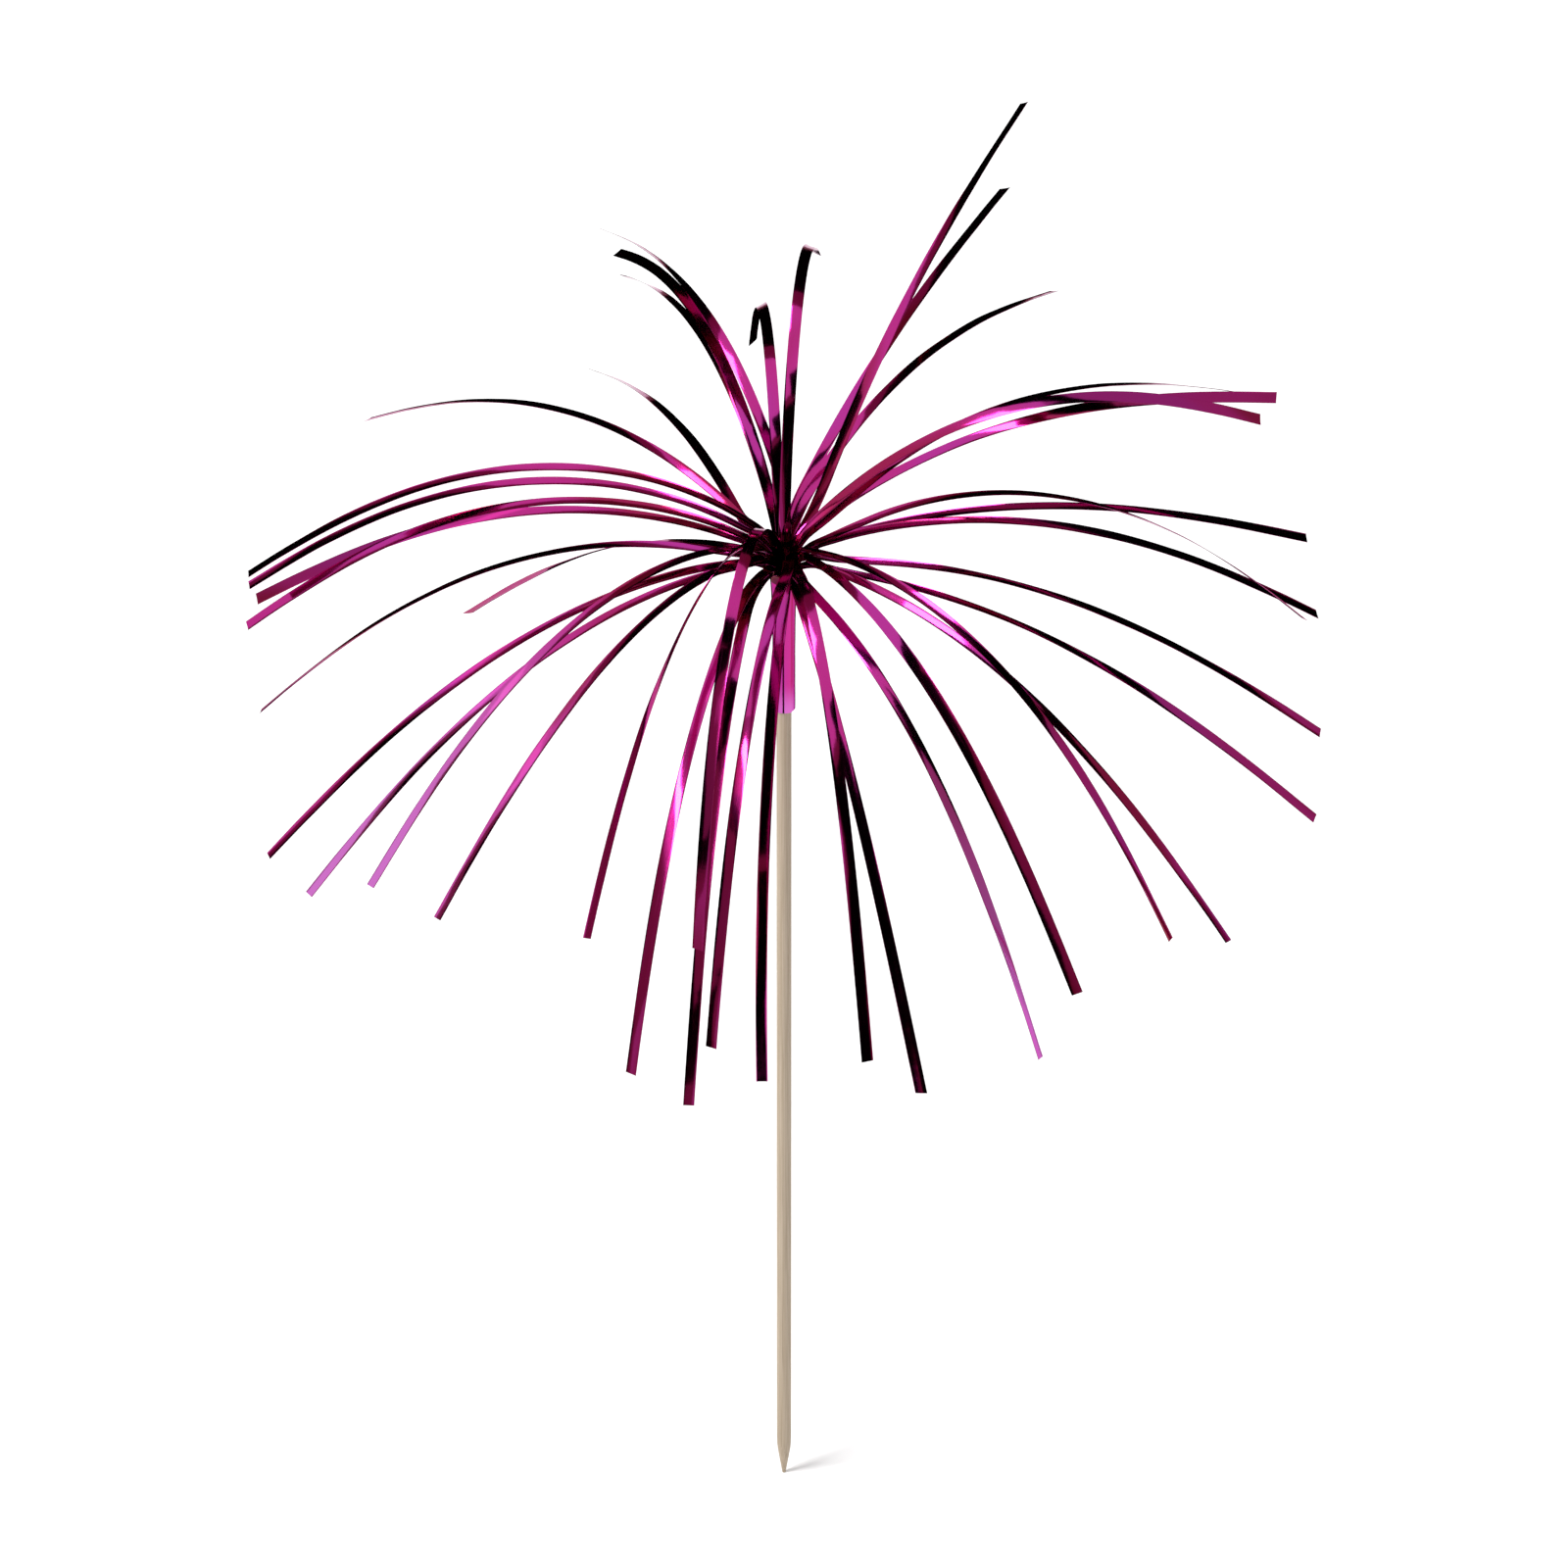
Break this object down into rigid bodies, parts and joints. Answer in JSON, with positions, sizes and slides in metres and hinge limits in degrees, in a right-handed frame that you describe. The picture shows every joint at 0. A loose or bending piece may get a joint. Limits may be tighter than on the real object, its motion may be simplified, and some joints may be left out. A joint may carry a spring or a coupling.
{
  "type": "cocktail pick",
  "caption": "Firework frill cocktail pick: a fountain of metallised film strands wound and glued round the top of a pointed bamboo stick.",
  "frame": {"origin": "the ground point of the stick", "axes": "+Z runs along the stick from its point to the crown of strands; +X is to the right in the picture's view, which looks along +Y and down"},
  "size_m": [0.1417, 0.1424, 0.182],
  "materials": {
    "bamboo": "sanded, unvarnished",
    "glue": "dried clear glue",
    "foil": "metallised film, mirror-like"
  },
  "bodies": {
    "root": {"stick": "bamboo", "glue_layer": "glue", "film_band": "foil", "strand_01": "foil", "strand_02": "foil", "strand_03": "foil", "strand_04": "foil", "strand_05": "foil", "strand_06": "foil", "strand_07": "foil", "strand_08": "foil", "strand_09": "foil", "strand_10": "foil", "strand_11": "foil", "strand_12": "foil", "strand_13": "foil", "strand_14": "foil", "strand_15": "foil", "strand_16": "foil", "strand_17": "foil", "strand_18": "foil", "strand_19": "foil", "strand_20": "foil", "strand_21": "foil", "strand_22": "foil", "strand_23": "foil", "strand_24": "foil", "strand_25": "foil", "strand_26": "foil", "strand_27": "foil", "strand_28": "foil", "strand_29": "foil", "strand_30": "foil", "strand_31": "foil", "strand_32": "foil", "strand_33": "foil", "strand_34": "foil", "strand_35": "foil", "strand_36": "foil", "strand_37": "foil", "strand_38": "foil", "strand_39": "foil", "strand_40": "foil"}
  },
  "joints": []
}
